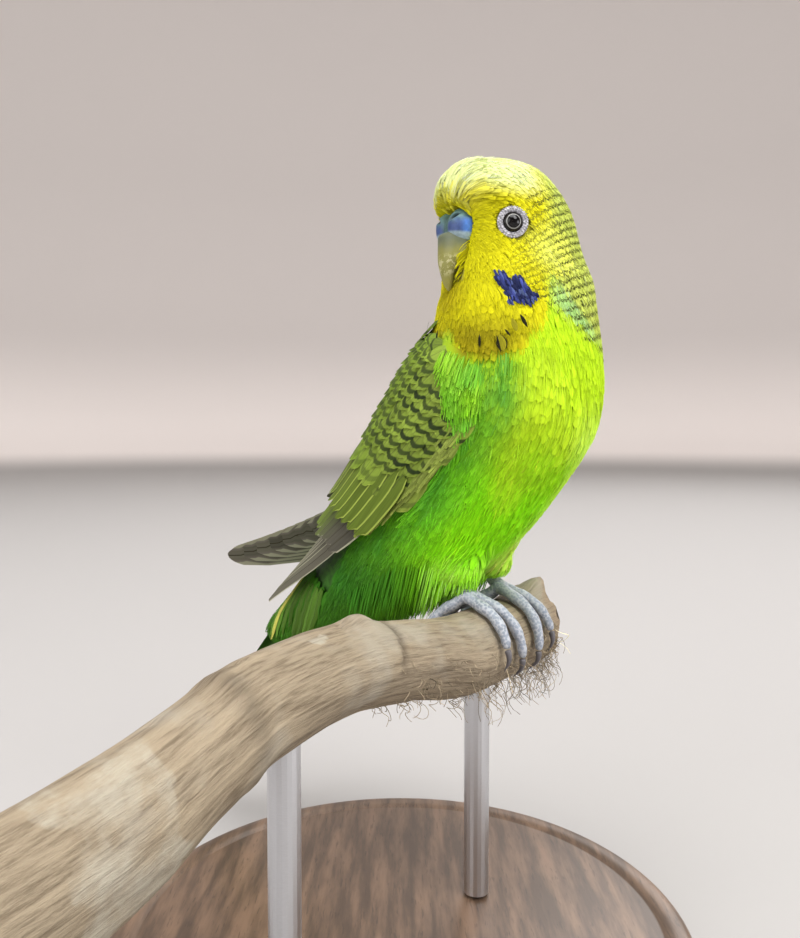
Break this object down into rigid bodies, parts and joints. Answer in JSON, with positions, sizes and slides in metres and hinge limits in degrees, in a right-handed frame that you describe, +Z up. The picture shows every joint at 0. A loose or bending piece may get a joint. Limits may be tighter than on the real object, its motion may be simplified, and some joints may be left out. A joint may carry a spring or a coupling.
{
  "type": "budgerigar",
  "caption": "Life-size still model of a green and yellow budgerigar perched on a cut branch, on a round display stand, head turned to look over its side.",
  "frame": {"origin": "middle of the whole model's footprint box, at the underside of the stand's base", "axes": "+Z up; the view that the model is shown from looks along +Y with +X to the right; the bird's body faces +X and -Y, 54 degrees round from -Y"},
  "size_m": [0.135, 0.1826, 0.1829],
  "materials": {
    "green_plumage": "soft feathers, apple green with a fine streak",
    "yellow_plumage": "soft feathers, yellow with fine olive bars",
    "barred_wing": "olive and yellow-green feathers with dark crescents",
    "flight_feathers": "grey-olive vanes with pale edges",
    "tail_feathers": "green vanes with pale yellow shafts",
    "eye": "dark, wet gloss",
    "cere": "waxy blue skin",
    "bill": "olive-yellow horn",
    "foot_skin": "fine blue-grey scales",
    "claw": "dark horn",
    "branch": "rough bark",
    "stand_base": "dark, satin, turned",
    "stand_rod": "brushed"
  },
  "bodies": {
    "root": {"bill_lower": "bill", "bill_upper": "bill", "cere": "cere", "claw_left_1": "claw", "claw_left_2": "claw", "claw_left_3": "claw", "claw_left_4": "claw", "claw_right_1": "claw", "claw_right_2": "claw", "claw_right_3": "claw", "claw_right_4": "claw", "eye_left": "eye", "eye_right": "eye", "head": "yellow_plumage", "neck": "yellow_plumage", "perch": "branch", "rump": "green_plumage", "shank_left": "foot_skin", "shank_right": "foot_skin", "stand_base": "stand_base", "stand_rod_1": "stand_rod", "stand_rod_2": "stand_rod", "tail_feathers": "tail_feathers", "thigh_left": "green_plumage", "thigh_right": "green_plumage", "toe_left_1": "foot_skin", "toe_left_2": "foot_skin", "toe_left_3": "foot_skin", "toe_left_4": "foot_skin", "toe_right_1": "foot_skin", "toe_right_2": "foot_skin", "toe_right_3": "foot_skin", "toe_right_4": "foot_skin", "torso": "green_plumage", "vent": "green_plumage", "wing_left_coverts": "barred_wing", "wing_left_primaries": "flight_feathers", "wing_left_secondaries": "flight_feathers", "wing_right_coverts": "barred_wing", "wing_right_primaries": "flight_feathers", "wing_right_secondaries": "flight_feathers"}
  },
  "joints": []
}
